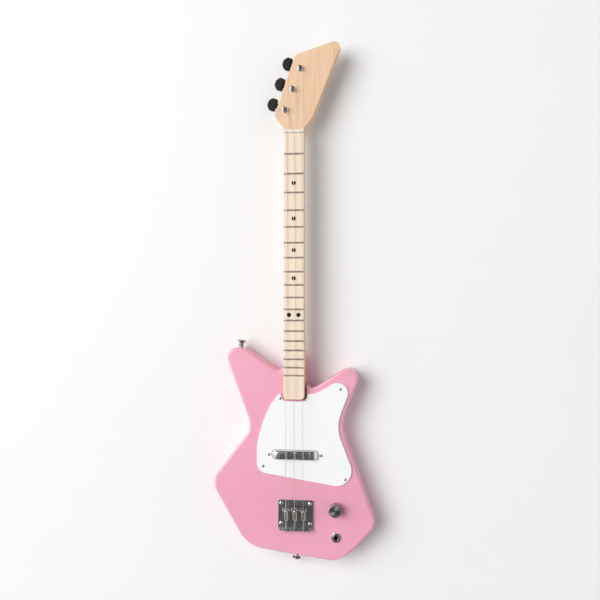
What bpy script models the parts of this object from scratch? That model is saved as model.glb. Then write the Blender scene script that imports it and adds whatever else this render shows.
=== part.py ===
"""A child's three-string electric guitar lying on its back.

The body's back is at z = 0 and the strings face +Z. +Y runs toward the headstock, X = 0 is the neck's
centre line and Y = 0 is the bridge end of the scale. Every piece is its own solid, so the guitar comes
apart as on a bench: body, bolt-on neck, fretboard, frets, pickguard, pickup, bridge, controls, tuners.
"""
import math

import bmesh
import bpy
from mathutils import Matrix, Vector

MM = 0.001
FIT = 0.3                      # air between two pieces that touch, in mm
ARC_STEP = math.radians(18)    # largest turn between two points of a rounded corner

# Scale and neck
SCALE = 520.7                  # 20.5 inch, nut to bridge
FRETS = 18
STRING_R = 0.45
NUT_X = (-9.9, 0.0, 9.9)       # the strings at the nut
SADDLE_X = (-10.5, 1.7, 13.9)  # the strings at the bridge
NECK_END = 150.7
NECK_HALF_END = 14.5
NECK_HALF_NUT = 14.0
BOARD_END_R = 5.0
POCKET_FLOOR = 20.0
NECK_TOP = 40.0
BOARD_TOP = 45.0
FRET_TOP = 46.2
NUT_TOP = 48.0
STRING_Z_NUT = 47.3
STRING_Z_SADDLE = 49.7

# Body
BODY_T = 36.0
BODY_EDGE_R = 3.0
GUARD_T = 2.0
GUARD_Z = BODY_T + FIT
GUARD_TOP = GUARD_Z + GUARD_T

# Each corner of an outline is x, y and the radius it is rounded to, clockwise from the upper left.
BODY_OUTLINE = [
    (-102.6, 221.5, 14), (-74.3, 221.5, 25), (-13.8, 182.1, 10.4), (-13.8, 207.5, 5),
    (15.2, 207.5, 5), (15.2, 159.3, 9), (69.2, 192.8, 15), (93.9, 192.8, 14), (63.7, 114.3, 55),
    (112.9, -21.7, 16), (86.4, -52.2, 60), (60.6, -74.6, 32), (-67.9, -57.6, 44),
    (-120.6, 32.7, 27), (-60.9, 108.9, 26),
]
GUARD_OUTLINE = [
    (-20.8, 159.3, 1.5), (-15.8, 147.5, 5.5), (16.8, 147.7, 5.5), (18.3, 158.3, 0.8),
    (29.3, 158.3, 22), (88.6, 192.5, 14.5), (58.1, 113.3, 50), (91.4, 25.7, 21.5),
    (-53.2, 48.0, 15), (-53.6, 88.0, 90), (-44.6, 119.0, 60), (-34.3, 142.3, 60),
]
HEAD_OUTLINE = [
    (-14.0, 522.0, 0), (-14.0, 525.0, 4), (-28.5, 547.0, 3), (1.3, 630.8, 3.5), (69.1, 651.9, 8),
    (25.2, 542.0, 12), (13.8, 528.0, 4), (14.0, 522.0, 0),
]
POCKET_X = (-15.6, 16.8)
POCKET_END = 149.4
HEAD_Z = (23.5, 38.5)

# Pickup
PICKUP_X = 0.7
PICKUP_Y = 72.8
PICKUP_LEN = 66.0
PICKUP_R = 7.5
PICKUP_AXIS_Z = 37.6
PICKUP_SCREW_DX = 36.8

# Bridge
BRIDGE_X = 1.7
BRIDGE_Y = (-31.5, 10.0)
BRIDGE_W = 49.8
BRIDGE_T = 2.0
BRIDGE_Z = BODY_T + FIT
BRIDGE_WALL_TOP = 45.5
BRIDGE_WALL_T = 1.6
SADDLE_W = 10.4
SADDLE_Y = (-18.8, 0.6)
SADDLE_T = 1.4
SCREW_Z = 40.6
ANCHOR_Z = 44.2               # the holes in the wall that the strings come up through
STRING_START_Z = 43.5
STRING_BEND = (-8.0, 49.0)      # y and z where each string turns over its saddle

# Controls
POT = (57.6, -1.2)
JACK = (57.9, -40.9)
FRONT_WALL = 30.0              # ceiling of the control cavity
KNOB_R = 9.1
KNOB_Z = (38.9, 50.2)

# Tuners, in a frame that runs along the headstock's left edge (ALONG) and out from it (OUT)
EDGE = 2.816
ALONG = Vector((1.0, EDGE)).normalized()
OUT = Vector((-ALONG.y, ALONG.x))
POSTS = [(8.5, 611.1), (-2.5, 582.7), (-13.2, 554.2)]
POST_R = 3.0
POST_TOP = 46.6
WORM_Z = 15.0
WORM_OFFSET = 5.2
STRAP_Z = 18.0

parts = bpy.data.collections.new("toy_electric_guitar")
cutters = bpy.data.collections.new("cutters")
materials = {}


def clear_scene():
    for item in list(bpy.data.objects):
        bpy.data.objects.remove(item, do_unlink=True)
    bpy.context.scene.collection.children.link(parts)
    bpy.context.scene.collection.children.link(cutters)


def material(name, colour, roughness, metallic=0.0):
    if name not in materials:
        made = bpy.data.materials.new(name)
        made.use_nodes = True
        shader = made.node_tree.nodes["Principled BSDF"]
        shader.inputs["Base Color"].default_value = (*colour, 1.0)
        shader.inputs["Roughness"].default_value = roughness
        shader.inputs["Metallic"].default_value = metallic
        made.diffuse_color = (*colour, 1.0)
        materials[name] = made
    return materials[name]


PINK = ("pink_lacquer", (0.88, 0.43, 0.56), 0.28)
MAPLE = ("maple", (0.82, 0.57, 0.37), 0.42)
BOARD = ("maple_board", (0.91, 0.75, 0.58), 0.40)
WHITE = ("white_plastic", (0.93, 0.94, 0.96), 0.30)
IVORY = ("nut_plastic", (0.90, 0.88, 0.82), 0.40)
CHROME = ("chrome", (0.75, 0.75, 0.77), 0.14, 1.0)
STEEL = ("steel", (0.55, 0.56, 0.58), 0.30, 1.0)
BLACK = ("black_plastic", (0.02, 0.02, 0.022), 0.30)


def round_corners(corners):
    """The outline's points, with each corner replaced by the arc that touches both its sides."""
    points = []
    count = len(corners)
    for i in range(count):
        corner = Vector(corners[i][:2])
        radius = corners[i][2]
        if radius == 0:
            points.append(corner)
            continue
        back = (Vector(corners[i - 1][:2]) - corner).normalized()
        ahead = (Vector(corners[(i + 1) % count][:2]) - corner).normalized()
        half = back.angle(ahead) / 2
        centre = corner + (back + ahead).normalized() * (radius / math.sin(half))
        first = corner + back * (radius / math.tan(half)) - centre
        last = corner + ahead * (radius / math.tan(half)) - centre
        turn = math.atan2(first.x * last.y - first.y * last.x, first.dot(last))
        steps = max(1, math.ceil(abs(turn) / ARC_STEP))
        for k in range(steps + 1):
            points.append(centre + Matrix.Rotation(turn * k / steps, 2) @ first)
    return points


def place(item, collection=parts, look=None):
    collection.objects.link(item)
    if collection is cutters:
        item.hide_render = True
        item.display_type = "WIRE"
    if look:
        item.data.materials.clear()
        item.data.materials.append(material(*look))
    return item


def curve_to_mesh(item, name):
    """A welded mesh object in place of a curve object."""
    bpy.context.scene.collection.objects.link(item)
    bpy.context.view_layer.update()
    solid = bpy.data.meshes.new_from_object(item.evaluated_get(bpy.context.evaluated_depsgraph_get()))
    work = bmesh.new()
    work.from_mesh(solid)
    bmesh.ops.remove_doubles(work, verts=work.verts, dist=1e-6)
    bmesh.ops.recalc_face_normals(work, faces=work.faces)
    work.to_mesh(solid)
    work.free()
    made = bpy.data.objects.new(name, solid)
    made.matrix_world = item.matrix_world.copy()
    bpy.data.objects.remove(item, do_unlink=True)
    return made


def plate(name, outline, z0, z1, edge=0.0, origin=(0, 0, 0), basis=None, collection=parts, look=None):
    """A flat outline with thickness, its front and back edges rounded to `edge`, in millimetres."""
    curve = bpy.data.curves.new(name, "CURVE")
    curve.dimensions = "2D"
    curve.fill_mode = "BOTH"
    curve.extrude = ((z1 - z0) / 2 - edge) * MM
    if edge:
        curve.bevel_depth = edge * MM
        curve.bevel_resolution = 1
        curve.offset = -edge * MM
    spline = curve.splines.new("POLY")
    points = round_corners(outline)
    spline.points.add(len(points) - 1)
    for point, spot in zip(spline.points, points):
        point.co = (spot.x * MM, spot.y * MM, 0, 1)
    spline.use_cyclic_u = True
    item = bpy.data.objects.new(name + "_outline", curve)
    turn = basis.to_4x4() if basis else Matrix.Identity(4)
    item.matrix_world = Matrix.Translation(Vector(origin) * MM) @ turn @ Matrix.Translation(
        (0, 0, (z0 + z1) / 2 * MM))
    return place(curve_to_mesh(item, name), collection, look)


def rectangle(x0, x1, y0, y1, radius=0.0):
    return [(x0, y0, radius), (x1, y0, radius), (x1, y1, radius), (x0, y1, radius)]


def box(name, x, y, z, collection=parts, look=None, origin=(0, 0, 0), basis=None):
    """A block between x[0]..x[1], y[0]..y[1], z[0]..z[1] of its own frame."""
    mesh = bpy.data.meshes.new(name)
    work = bmesh.new()
    bmesh.ops.create_cube(work, size=1.0)
    size = Vector((x[1] - x[0], y[1] - y[0], z[1] - z[0])) * MM
    middle = Vector((x[1] + x[0], y[1] + y[0], z[1] + z[0])) * MM / 2
    bmesh.ops.scale(work, vec=size, verts=work.verts)
    bmesh.ops.translate(work, vec=middle, verts=work.verts)
    work.to_mesh(mesh)
    work.free()
    item = bpy.data.objects.new(name, mesh)
    turn = basis.to_4x4() if basis else Matrix.Identity(4)
    item.matrix_world = Matrix.Translation(Vector(origin) * MM) @ turn
    return place(item, collection, look)


def turned(name, profile, origin, axis=(0, 0, 1), segments=24, collection=parts, look=None):
    """A closed turned solid: profile is (radius, height) from the top of its axis to the bottom."""
    mesh = bpy.data.meshes.new(name)
    work = bmesh.new()
    spots = [work.verts.new((r * MM, 0, h * MM)) for r, h in profile]
    closed = profile[0][0] > 0
    for a, b in zip(spots, spots[1:] + (spots[:1] if closed else [])):
        work.edges.new((a, b))
    work.to_mesh(mesh)
    work.free()
    item = bpy.data.objects.new(name, mesh)
    item.location = Vector(origin) * MM
    item.rotation_mode = "QUATERNION"
    item.rotation_quaternion = Vector((0, 0, 1)).rotation_difference(Vector(axis))
    screw = item.modifiers.new("turn", "SCREW")
    screw.axis = "Z"
    screw.steps = segments
    screw.render_steps = segments
    screw.use_merge_vertices = True
    screw.merge_threshold = 0.000001
    screw.use_normal_calculate = False
    screw.use_normal_flip = False
    return place(item, collection, look)


def rod(name, radius, h0, h1, origin, axis=(0, 0, 1), segments=20, collection=parts, look=None):
    return turned(name, [(0, h1), (radius, h1), (radius, h0), (0, h0)], origin, axis, segments,
                  collection, look)


def hexagon(name, across, h0, h1, origin, collection=parts, look=None):
    corner = across / math.sqrt(3)
    outline = [(corner * math.cos(k * math.pi / 3), corner * math.sin(k * math.pi / 3), 0)
               for k in range(6)]
    return plate(name, outline, h0, h1, 0, origin, None, collection, look)


def combine(target, operation, tools):
    for tool in tools:
        step = target.modifiers.new(tool.name, "BOOLEAN")
        step.operation = operation
        step.solver = "EXACT"
        step.object = tool
    return target


def cut(target, *tools):
    return combine(target, "DIFFERENCE", tools)


def join(target, *tools):
    return combine(target, "UNION", tools)


def wire(name, points, radius, sides=6, look=STEEL):
    """A round wire along a path of points, closed at both ends."""
    curve = bpy.data.curves.new(name, "CURVE")
    curve.dimensions = "3D"
    curve.fill_mode = "FULL"
    curve.bevel_depth = radius * MM
    curve.bevel_resolution = max(0, sides // 2 - 2)
    curve.use_fill_caps = True
    spline = curve.splines.new("POLY")
    spline.points.add(len(points) - 1)
    for point, spot in zip(spline.points, points):
        point.co = (spot[0] * MM, spot[1] * MM, spot[2] * MM, 1)
    return place(curve_to_mesh(bpy.data.objects.new(name + "_path", curve), name), parts, look)


def fret_y(n):
    return SCALE * 2 ** (-n / 12)


def half_width(y):
    return NECK_HALF_END + (NECK_HALF_NUT - NECK_HALF_END) * (y - NECK_END) / (SCALE - NECK_END)


def make_body():
    body = plate("body", BODY_OUTLINE, 0, BODY_T, BODY_EDGE_R, look=PINK)
    pocket = plate("cut_pocket", rectangle(*POCKET_X, POCKET_END, 230, 6), POCKET_FLOOR, 50,
                   collection=cutters)
    pickup = plate("cut_pickup", rectangle(PICKUP_X - 41, PICKUP_X + 41, PICKUP_Y - 10, PICKUP_Y + 10, 6),
                   19, 50, collection=cutters)
    cavity = plate("cut_controls", rectangle(42, 74, -51, 16, 8), -5, FRONT_WALL, collection=cutters)
    recess = plate("cut_cover", rectangle(37, 79, -56, 21, 10), -5, 2.6, collection=cutters)
    lead = box("cut_lead", (30, 48), (8, 66), (21, 27), cutters)
    pot_hole = rod("cut_pot_hole", 3.9, 25, 45, (*POT, 0), collection=cutters)
    jack_hole = rod("cut_jack_hole", 5.0, 25, 45, (*JACK, 0), collection=cutters)
    plate_seat = plate("cut_plate_seat", rectangle(-12.6, 14.0, 154.6, 203.4, 3.5), -5, 1.7,
                       collection=cutters)
    cut(body, pocket, pickup, cavity, recess, lead, pot_hole, jack_hole, plate_seat)
    for i, (x, y) in enumerate(neck_screw_spots()):
        cut(body, rod(f"cut_neck_screw_{i + 1}", 2.4, -5, 30, (x, y, 0), segments=12, collection=cutters))
    return body


def neck_screw_spots():
    return [(x, y) for y in (162.0, 196.0) for x in (-7.3, 8.7)]


def make_neck():
    """Heel block, D-section shaft and headstock slab, joined into one piece of wood."""
    outline = [(-NECK_HALF_END, NECK_END, BOARD_END_R), (-NECK_HALF_END, 218, 2),
               (NECK_HALF_END, 218, 2), (NECK_HALF_END, NECK_END, BOARD_END_R)]
    neck = plate("neck", outline, POCKET_FLOOR + FIT, NECK_TOP, look=MAPLE)
    shaft_len = 524.6 - 210.0
    half = NECK_HALF_NUT + 0.2
    section = [(-half, 20.3, 0), (half, 20.3, 0), (half, 11.0, 7), (8.0, 0.5, 9), (-8.0, 0.5, 9),
               (-half, 11.0, 7)]
    upright = Matrix(((1, 0, 0), (0, 0, -1), (0, 1, 0)))
    shaft = plate("neck_shaft", section, -shaft_len, 0, 0, (0, 210.0, NECK_TOP - 20.3), upright, cutters)
    head = plate("neck_head", HEAD_OUTLINE, *HEAD_Z, 0.8, collection=cutters)
    join(neck, shaft, head)
    rod_slot = box("cut_rod_slot", (-3.3, 3.3), (140, 512), (NECK_TOP - 8.6, NECK_TOP + 3), cutters)
    cut(neck, rod_slot)
    for i, (x, y) in enumerate(neck_screw_spots()):
        cut(neck, rod(f"cut_heel_screw_{i + 1}", 2.3, 10, 30.8, (x, y, 0), segments=12,
                      collection=cutters))
    for i, spot in enumerate(POSTS):
        cut(neck, rod(f"cut_post_{i + 1}", POST_R + 0.5, 15, 50, (*spot, 0), collection=cutters))
    return neck


def make_truss_rod():
    return rod("truss_rod", 2.6, 0, 346, (0, 158, NECK_TOP - 5.2), (0, 1, 0), 12, look=STEEL)


def make_fretboard():
    end = half_width(NECK_END)
    start = SCALE - FIT
    outline = [(-end, NECK_END, BOARD_END_R), (-half_width(start), start, 0), (half_width(start), start, 0),
               (end, NECK_END, BOARD_END_R)]
    board = plate("fretboard", outline, NECK_TOP + FIT, BOARD_TOP, look=BOARD)
    for n in range(1, FRETS + 1):
        y = fret_y(n)
        cut(board, box(f"cut_fret_{n:02d}", (-20, 20), (y - 0.6, y + 0.6), (BOARD_TOP - 2.1, 50), cutters))
    return board


def make_frets():
    """T-shaped wire: a rounded crown on the board and a tang in its slot."""
    seat = BOARD_TOP + FIT
    crown = [(-1.1, seat, 0), (-0.3, seat, 0), (-0.3, BOARD_TOP - 1.7, 0), (0.3, BOARD_TOP - 1.7, 0),
             (0.3, seat, 0), (1.1, seat, 0), (0.6, FRET_TOP, 0), (-0.6, FRET_TOP, 0)]
    across = Matrix(((0, 0, 1), (1, 0, 0), (0, 1, 0)))
    for n in range(1, FRETS + 1):
        y = fret_y(n)
        reach = half_width(y) - 0.4
        plate(f"fret_{n:02d}", crown, -reach, reach, 0, (0, y, 0), across, look=STEEL)


def make_nut():
    front = SCALE
    nut = box("nut", (-NECK_HALF_NUT + 0.2, NECK_HALF_NUT - 0.2), (front, front + 4.2),
              (NECK_TOP + FIT, NUT_TOP), look=IVORY)
    for i, x in enumerate(NUT_X):
        slot = box(f"cut_nut_slot_{i + 1}", (x - 0.8, x + 0.8), (front - 2, front + 7),
                   (STRING_Z_NUT - STRING_R - FIT, NUT_TOP + 3), cutters)
        cut(nut, slot)
    return nut


def make_pickguard():
    guard = plate("pickguard", GUARD_OUTLINE, GUARD_Z, GUARD_TOP, look=WHITE)
    slot_r = PICKUP_R + 0.5
    reach = PICKUP_LEN / 2 + 0.5
    slot = plate("cut_guard_slot", rectangle(PICKUP_X - reach, PICKUP_X + reach, PICKUP_Y - slot_r,
                                             PICKUP_Y + slot_r, 4.0), 30, 45,
                 collection=cutters)
    cut(guard, slot)
    for side in (-1, 1):
        cut(guard, rod(f"cut_guard_screw_{side + 2}", 1.7, 30, 45,
                       (PICKUP_X + side * PICKUP_SCREW_DX, PICKUP_Y, 0), segments=12,
                       collection=cutters))
    return guard


def make_pickup():
    """A lipstick tube with domed ends, open along its underside, with the coil inside it."""
    half = PICKUP_LEN / 2
    profile = [(0, half)]
    for k in range(1, 5):
        a = k * math.pi / 8
        profile.append((PICKUP_R * math.sin(a), half - PICKUP_R * 0.55 * (1 - math.cos(a))))
    profile += [(r, -h) for r, h in reversed(profile)]
    cover = turned("pickup_cover", profile, (PICKUP_X, PICKUP_Y, PICKUP_AXIS_Z), (1, 0, 0), 20,
                   look=CHROME)
    hollow = box("cut_tube", (-27, 27), (-5.4, 5.4), (-12, 4.2), cutters,
                 origin=(PICKUP_X, PICKUP_Y, PICKUP_AXIS_Z))
    flat = box("cut_tube_flat", (-40, 40), (-10, 10), (-12, -5.2), cutters,
               origin=(PICKUP_X, PICKUP_Y, PICKUP_AXIS_Z))
    cut(cover, hollow, flat)
    box("pickup_coil", (-25, 25), (-4.6, 4.6), (-5.1, 3.6), look=BLACK,
        origin=(PICKUP_X, PICKUP_Y, PICKUP_AXIS_Z))
    reach = PICKUP_SCREW_DX + 3.2
    base = plate("pickup_base", rectangle(PICKUP_X - reach, PICKUP_X + reach, PICKUP_Y - 5, PICKUP_Y + 5, 4),
                 30.4, 32.0, look=STEEL)
    for side in (-1, 1):
        cut(base, rod(f"cut_base_screw_{side + 2}", 1.6, 25, 35,
                      (PICKUP_X + side * PICKUP_SCREW_DX, PICKUP_Y, 0), segments=12,
                      collection=cutters))


def make_bridge():
    x0 = BRIDGE_X - BRIDGE_W / 2
    x1 = BRIDGE_X + BRIDGE_W / 2
    bridge = plate("bridge_plate", rectangle(x0, x1, *BRIDGE_Y, 2), BRIDGE_Z, BRIDGE_Z + BRIDGE_T,
                   look=CHROME)
    wall = box("bridge_wall", (x0 + 1, x1 - 1), (BRIDGE_Y[0] + 0.2, BRIDGE_Y[0] + BRIDGE_WALL_T),
               (BRIDGE_Z + 0.5, BRIDGE_WALL_TOP), cutters)
    join(bridge, wall)
    for i, x in enumerate(SADDLE_X):
        screw = rod(f"cut_wall_screw_{i + 1}", 1.8, -10, 10, (x, BRIDGE_Y[0], SCREW_Z), (0, 1, 0), 12,
                    cutters)
        anchor = rod(f"cut_wall_string_{i + 1}", 0.9, -10, 10, (x, BRIDGE_Y[0], ANCHOR_Z), (0, 1, 0), 12,
                     cutters)
        cut(bridge, screw, anchor)
    for i, dx in enumerate((-20.2, 20.2)):
        for j, y in enumerate((5.2, -22.8)):
            cut(bridge, rod(f"cut_bridge_mount_{2 * i + j + 1}", 1.7, 30, 50, (BRIDGE_X + dx, y, 0),
                            segments=12, collection=cutters))


def make_saddles():
    """Bent strip: rear wall with the threaded hole, slotted top that rises to the front, front wall."""
    y0, y1 = SADDLE_Y
    t = SADDLE_T
    low = BRIDGE_Z + BRIDGE_T + FIT
    side = [(y0, low, 0), (y0, 45.2, 0.8), (-3.2, 48.2, 1.0), (y1, 47.4, 1.6), (y1, 41.0, 0),
            (y1 - t, 41.0, 0), (y1 - t, 46.3, 0.6), (-3.2, 46.7, 0), (y0 + t, 43.9, 0), (y0 + t, low, 0)]
    across = Matrix(((0, 0, 1), (1, 0, 0), (0, 1, 0)))
    for i, x in enumerate(SADDLE_X):
        saddle = plate(f"saddle_{i + 1}", side, -SADDLE_W / 2, SADDLE_W / 2, 0, (x, 0, 0), across,
                       look=STEEL)
        slot = plate(f"cut_saddle_slot_{i + 1}", rectangle(x - 1.3, x + 1.3, y0 + 2.2, -3.6, 1.2), 42, 52,
                     collection=cutters)
        hole = rod(f"cut_saddle_screw_{i + 1}", 1.7, -25, -10, (x, 0, SCREW_Z), (0, 1, 0), 12, cutters)
        cut(saddle, slot, hole)
        shaft = 1.35
        head = [(0, -8.0), (shaft, -8.0), (shaft, BRIDGE_Y[0] - 0.3), (1.9, BRIDGE_Y[0] - 0.3),
                (1.9, BRIDGE_Y[0] - 2.0), (1.2, BRIDGE_Y[0] - 2.6), (0, BRIDGE_Y[0] - 2.6)]
        turned(f"intonation_screw_{i + 1}", head, (x, 0, SCREW_Z), (0, 1, 0), 12, look=STEEL)


def make_controls():
    top, bottom = KNOB_Z[1], KNOB_Z[0]
    shell = [(0, top), (KNOB_R - 1.6, top), (KNOB_R - 0.4, top - 0.6), (KNOB_R, top - 1.6),
             (KNOB_R + 0.2, bottom), (7.2, bottom), (7.2, bottom + 2.6), (3.35, bottom + 2.6),
             (3.35, top - 2.0), (0, top - 2.0)]
    turned("volume_knob", shell, (*POT, 0), segments=24, look=CHROME)
    rod("pot_shaft", 3.0, 25.4, top - 2.4, (*POT, 0), look=STEEL)
    pot = [(0, 25.0), (3.3, 25.0), (3.3, 38.3), (3.6, 38.3), (3.6, FRONT_WALL - FIT),
           (8.4, FRONT_WALL - FIT), (8.4, 20.6), (0, 20.6)]
    turned("pot_body", pot, (*POT, 0), segments=24, look=STEEL)
    nut = hexagon("pot_nut", 11.0, BODY_T + FIT, BODY_T + 2.2, (*POT, 0), look=CHROME)
    cut(nut, rod("cut_pot_nut", 3.9, 30, 45, (*POT, 0), collection=cutters))
    socket = [(0, 14.6), (3.25, 14.6), (3.25, 38.7), (4.6, 38.7), (4.6, FRONT_WALL - FIT),
              (7.0, FRONT_WALL - FIT), (7.0, 13.0), (0, 13.0)]
    turned("jack_socket", socket, (*JACK, 0), segments=24, look=CHROME)
    collar = hexagon("jack_nut", 12.1, BODY_T + FIT, BODY_T + 2.3, (*JACK, 0), look=CHROME)
    cut(collar, rod("cut_jack_nut", 4.9, 30, 45, (*JACK, 0), collection=cutters))
    plate("control_cover", rectangle(37.4, 78.6, -55.6, 20.6, 9.6), 0.3, 2.2, look=WHITE)


def make_neck_joint():
    seat = plate("neck_plate", rectangle(-12.2, 13.6, 155.0, 203.0, 3), 0.2, 1.4, look=CHROME)
    for i, (x, y) in enumerate(neck_screw_spots()):
        cut(seat, rod(f"cut_plate_screw_{i + 1}", 2.4, -5, 5, (x, y, 0), segments=12,
                      collection=cutters))
        profile = [(0, 30.4), (1.9, 28.2), (1.9, 0.3), (0, 0.3)]
        turned(f"neck_screw_{i + 1}", profile, (x, y, 0), segments=12, look=STEEL)


def make_strap_buttons():
    """A turned peg with a wide rim, screwed into the edge of the body."""
    peg = [(0, 9.9), (5.4, 9.9), (6.2, 9.2), (6.2, 8.2), (3.4, 6.0), (3.0, 3.6), (4.0, 1.2), (4.0, 0.3),
           (0, 0.3)]
    spots = {"strap_button_horn": ((-80.2, 222.1), (0.137, 0.99)),
             "strap_button_end": ((1.2, -67.4), (-0.133, -0.991))}
    for name, (base, way) in spots.items():
        turned(name, peg, (*base, STRAP_Z), (*way, 0), 20, look=CHROME)


def make_tuners():
    frame = Matrix(((OUT.x, -ALONG.x, 0), (OUT.y, -ALONG.y, 0), (0, 0, 1)))
    for i, (x, y) in enumerate(POSTS):
        k = i + 1
        origin = (x, y, 0)
        housing = plate(f"tuner_housing_{k}", rectangle(-6.8, 6.8, -10.6, 5.8, 1.5), 10.0,
                        HEAD_Z[0] - FIT, 0, origin, frame, look=CHROME)
        room = box(f"cut_room_{k}", (-5.4, 5.4), (-9.4, 4.6), (11.4, 21.6), cutters, None, origin, frame)
        bore = rod(f"cut_housing_bore_{k}", POST_R + 0.4, 20, 30, origin, segments=16, collection=cutters)
        cut(housing, room, bore)
        worm_at = Vector((x, y)) + ALONG * WORM_OFFSET
        worm_origin = (worm_at.x, worm_at.y, WORM_Z)
        side_bore = rod(f"cut_worm_bore_{k}", 2.1, 4, 12, worm_origin, (*OUT, 0), 12, cutters)
        cut(housing, side_bore)
        post = [(0, POST_TOP), (POST_R - 0.6, POST_TOP), (POST_R, POST_TOP - 0.6), (POST_R, 43.2),
                (2.5, 42.4), (2.5, 40.2), (POST_R, 39.4), (POST_R, 17.0), (3.5, 17.0), (3.5, 13.0),
                (2.4, 13.0), (2.4, 11.8), (0, 11.8)]
        turned(f"tuner_post_{k}", post, origin, segments=16, look=STEEL)
        shaft = [(0, 20.6), (3.7, 20.6), (3.7, 16.2), (3.0, 15.2), (1.6, 14.4), (1.6, 5.0), (1.4, 5.0),
                 (1.4, -4.6), (0, -4.6)]
        button = turned(f"tuner_button_{k}", shaft, worm_origin, (*OUT, 0), 16, look=BLACK)
        paddle = [(19.2, -8.4, 2.0), (19.9, 0, 20.0), (19.2, 8.4, 2.0), (27.2, 9.0, 4.5),
                  (31.8, 3.6, 5.0), (31.8, -3.6, 5.0), (27.2, -9.0, 4.5)]
        grip = plate(f"button_grip_{k}", paddle, -3.9, 3.9, 1.8, worm_origin, frame, cutters)
        join(button, grip)


def make_strings():
    """Each string runs from its bridge anchor over the saddle and the nut, then winds on its post."""
    for i in range(3):
        x_nut = NUT_X[i]
        x_saddle = SADDLE_X[i]
        post_x, post_y = POSTS[2 - i]
        coil_r = POST_R + FIT + STRING_R
        path = [(x_saddle, BRIDGE_Y[0] - 2.2, STRING_START_Z), (x_saddle, *STRING_BEND),
                (x_saddle, 2.5, STRING_Z_SADDLE),
                (x_nut, SCALE + 0.6, STRING_Z_NUT), (x_nut, SCALE + 3.8, STRING_Z_NUT - 0.1)]
        turns = 2.0
        steps = int(turns * 12)
        for k in range(steps + 1):
            a = k * 2 * math.pi / 12
            z = 43.4 - 3.6 * k / steps
            path.append((post_x + coil_r * math.cos(a), post_y + coil_r * math.sin(a), z))
        wire(f"string_{i + 1}", path, STRING_R)


def shade():
    for item in parts.objects:
        if item.type == "MESH":
            item.data.shade_smooth()
            item.data.set_sharp_from_angle(angle=math.radians(35))


clear_scene()
make_body()
make_neck()
make_truss_rod()
make_fretboard()
make_frets()
make_nut()
make_pickguard()
make_pickup()
make_bridge()
make_saddles()
make_controls()
make_neck_joint()
make_strap_buttons()
make_tuners()
make_strings()
shade()
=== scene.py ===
"""Fine surfaces, materials, light and camera for the toy electric guitar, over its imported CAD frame.

Sizes are in millimetres, in the frame of the CAD: back of the body at z = 0, strings toward +Z, +Y toward
the headstock, X = 0 on the neck's centre line and Y = 0 at the bridge end of the scale.
"""
import math

import bmesh
import bpy
from mathutils import Matrix, Vector


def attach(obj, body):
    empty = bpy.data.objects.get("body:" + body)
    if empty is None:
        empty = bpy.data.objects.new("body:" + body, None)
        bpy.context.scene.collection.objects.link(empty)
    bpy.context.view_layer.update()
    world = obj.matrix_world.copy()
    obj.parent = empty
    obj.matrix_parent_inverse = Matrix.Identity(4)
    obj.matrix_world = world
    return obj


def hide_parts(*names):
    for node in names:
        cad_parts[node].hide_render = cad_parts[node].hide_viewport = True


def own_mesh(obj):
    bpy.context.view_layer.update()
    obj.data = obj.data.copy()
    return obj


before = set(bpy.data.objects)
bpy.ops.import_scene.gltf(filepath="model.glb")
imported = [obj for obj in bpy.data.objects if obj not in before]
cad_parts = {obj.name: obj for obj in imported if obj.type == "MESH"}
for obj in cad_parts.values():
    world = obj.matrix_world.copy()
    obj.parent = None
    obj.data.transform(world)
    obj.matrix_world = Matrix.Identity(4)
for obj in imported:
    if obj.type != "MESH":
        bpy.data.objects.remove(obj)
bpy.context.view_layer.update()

MM = 0.001
FIT = 0.3                      # air between two pieces that touch
FINE = math.radians(4)         # largest turn between two points of a rounded corner

# Scale and neck
SCALE = 520.7
FRETS = 18
NUT_X = (-9.9, 0.0, 9.9)
SADDLE_X = (-10.5, 1.7, 13.9)
STRING_RADII = (0.40, 0.33, 0.26)
WINDS = 2.5
NECK_END = 150.7
NECK_HALF_END = 14.5
NECK_HALF_NUT = 14.0
NECK_TOP = 40.0
BOARD_TOP = 45.0
FRET_TOP = 46.2
NUT_TOP = 48.0
STRING_Z_NUT = 47.3
STRING_Z_SADDLE = 49.7
HEEL_Z = 20.3
HEAD_Z = (23.5, 38.5)
DOT_R = 3.0
DOT_FRETS = ((3, (0,)), (5, (0,)), (7, (0,)), (9, (0,)), (12, (-6.6, 6.6)))

# Body
BODY_T = 36.0
BODY_EDGE_R = 3.0
GUARD_Z = BODY_T + FIT
GUARD_TOP = GUARD_Z + 2.0
BODY_OUTLINE = [
    (-102.6, 221.5, 14), (-74.3, 221.5, 25), (-13.8, 182.1, 10.4), (-13.8, 207.5, 5),
    (15.2, 207.5, 5), (15.2, 159.3, 9), (69.2, 192.8, 15), (93.9, 192.8, 14), (63.7, 114.3, 55),
    (112.9, -21.7, 16), (86.4, -52.2, 60), (60.6, -74.6, 32), (-67.9, -57.6, 44),
    (-120.6, 32.7, 27), (-60.9, 108.9, 26),
]
GUARD_OUTLINE = [
    (-20.8, 159.3, 1.5), (-15.8, 147.5, 5.5), (16.8, 147.7, 5.5), (18.3, 158.3, 0.8),
    (29.3, 158.3, 22), (88.6, 192.5, 14.5), (58.1, 113.3, 50), (91.4, 25.7, 21.5),
    (-53.2, 48.0, 15), (-53.6, 88.0, 90), (-44.6, 119.0, 60), (-34.3, 142.3, 60),
]
GUARD_SCREWS = ((-20.3, 151.2), (64.3, 165.5), (71.1, 40.4), (-44.5, 56.2))
HEAD_OUTLINE = [
    (-14.0, 522.0, 0), (-14.0, 525.0, 4), (-28.5, 547.0, 3), (1.3, 630.8, 3.5), (69.1, 651.9, 8),
    (25.2, 542.0, 12), (13.8, 528.0, 4), (14.0, 522.0, 0),
]
POCKET_X = (-15.6, 16.8)
POCKET_END = 149.4
NECK_SCREWS = [(x, y) for y in (162.0, 196.0) for x in (-7.3, 8.7)]

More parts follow.
